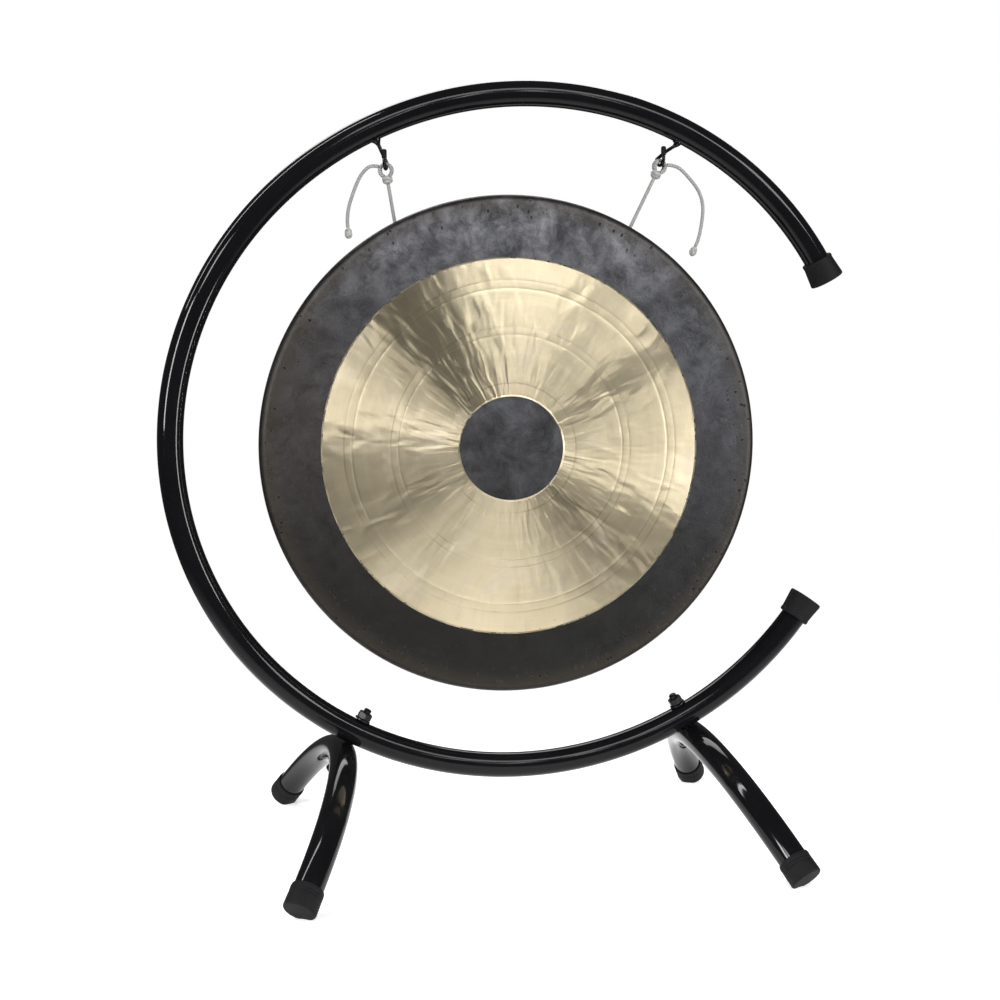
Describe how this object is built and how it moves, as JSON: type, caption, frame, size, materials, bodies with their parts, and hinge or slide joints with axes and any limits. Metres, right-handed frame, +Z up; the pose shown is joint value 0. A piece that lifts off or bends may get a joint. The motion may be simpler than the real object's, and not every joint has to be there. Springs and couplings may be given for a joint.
{
  "type": "tam tam gong on a stand",
  "caption": "Hammered bronze gong hung on cords from hooks in an open C-shaped tubular table stand with arched, rubber-tipped legs.",
  "frame": {"origin": "on the floor, under the middle of the stand's box", "axes": "+Z up, -Y the way the gong's face looks, +X to the right as its player sees it, towards the ring's open mouth"},
  "size_m": [0.685, 0.4072, 0.7586],
  "materials": {
    "black_enamel": "gloss black enamel on steel tube",
    "black_rubber": "matte moulded rubber",
    "black_vinyl": "soft satin vinyl",
    "black_steel": "black-plated steel",
    "bronze": "hammered and lathed bronze with a dark oxide border and centre",
    "braided_cord": "braided grey-white cord"
  },
  "bodies": {
    "stand": {"ring_tube": "black_enamel", "ring_end_cap_upper": "black_rubber", "ring_end_cap_lower": "black_rubber", "left_hook": "black_enamel", "left_hook_sleeve": "black_vinyl", "left_leg_bolt": "black_steel", "left_leg_nut": "black_steel", "left_nut_washer": "black_steel", "left_head_washer": "black_steel", "right_hook": "black_enamel", "right_hook_sleeve": "black_vinyl", "right_leg_bolt": "black_steel", "right_leg_nut": "black_steel", "right_nut_washer": "black_steel", "right_head_washer": "black_steel"},
    "left_leg": {"left_leg_tube": "black_enamel", "left_front_foot_cap": "black_rubber", "left_rear_foot_cap": "black_rubber"},
    "right_leg": {"right_leg_tube": "black_enamel", "right_front_foot_cap": "black_rubber", "right_rear_foot_cap": "black_rubber"},
    "cords": {"left_hook_knot": "braided_cord", "left_hanging_cord": "braided_cord", "left_stopper_knot": "braided_cord", "left_cord_tail": "braided_cord", "left_tail_knot": "braided_cord", "right_hook_knot": "braided_cord", "right_hanging_cord": "braided_cord", "right_stopper_knot": "braided_cord", "right_cord_tail": "braided_cord", "right_tail_knot": "braided_cord"},
    "gong": {"gong_disc": "bronze"}
  },
  "joints": [
    {"name": "cord_swing", "type": "hinge", "parent": "stand", "child": "cords", "pos_m": [0.01685, 0, 0.68192], "axis": [0.9998, 0, 0.0221], "range_deg": [-20, 20]},
    {"name": "gong_tilt", "type": "hinge", "parent": "cords", "child": "gong", "pos_m": [0.00488, 0.00005, 0.61765], "axis": [0.9984, -0.0518, -0.0227], "range_deg": [-12, 12]},
    {"name": "left_leg_swivel", "type": "hinge", "parent": "stand", "child": "left_leg", "pos_m": [-0.17076, 0, 0.09843], "axis": [-0.5105, 0, -0.8599], "range_deg": [-90, 90]},
    {"name": "right_leg_swivel", "type": "hinge", "parent": "stand", "child": "right_leg", "pos_m": [0.19228, 0, 0.09953], "axis": [0.4894, 0, -0.8721], "range_deg": [-90, 90]}
  ]
}
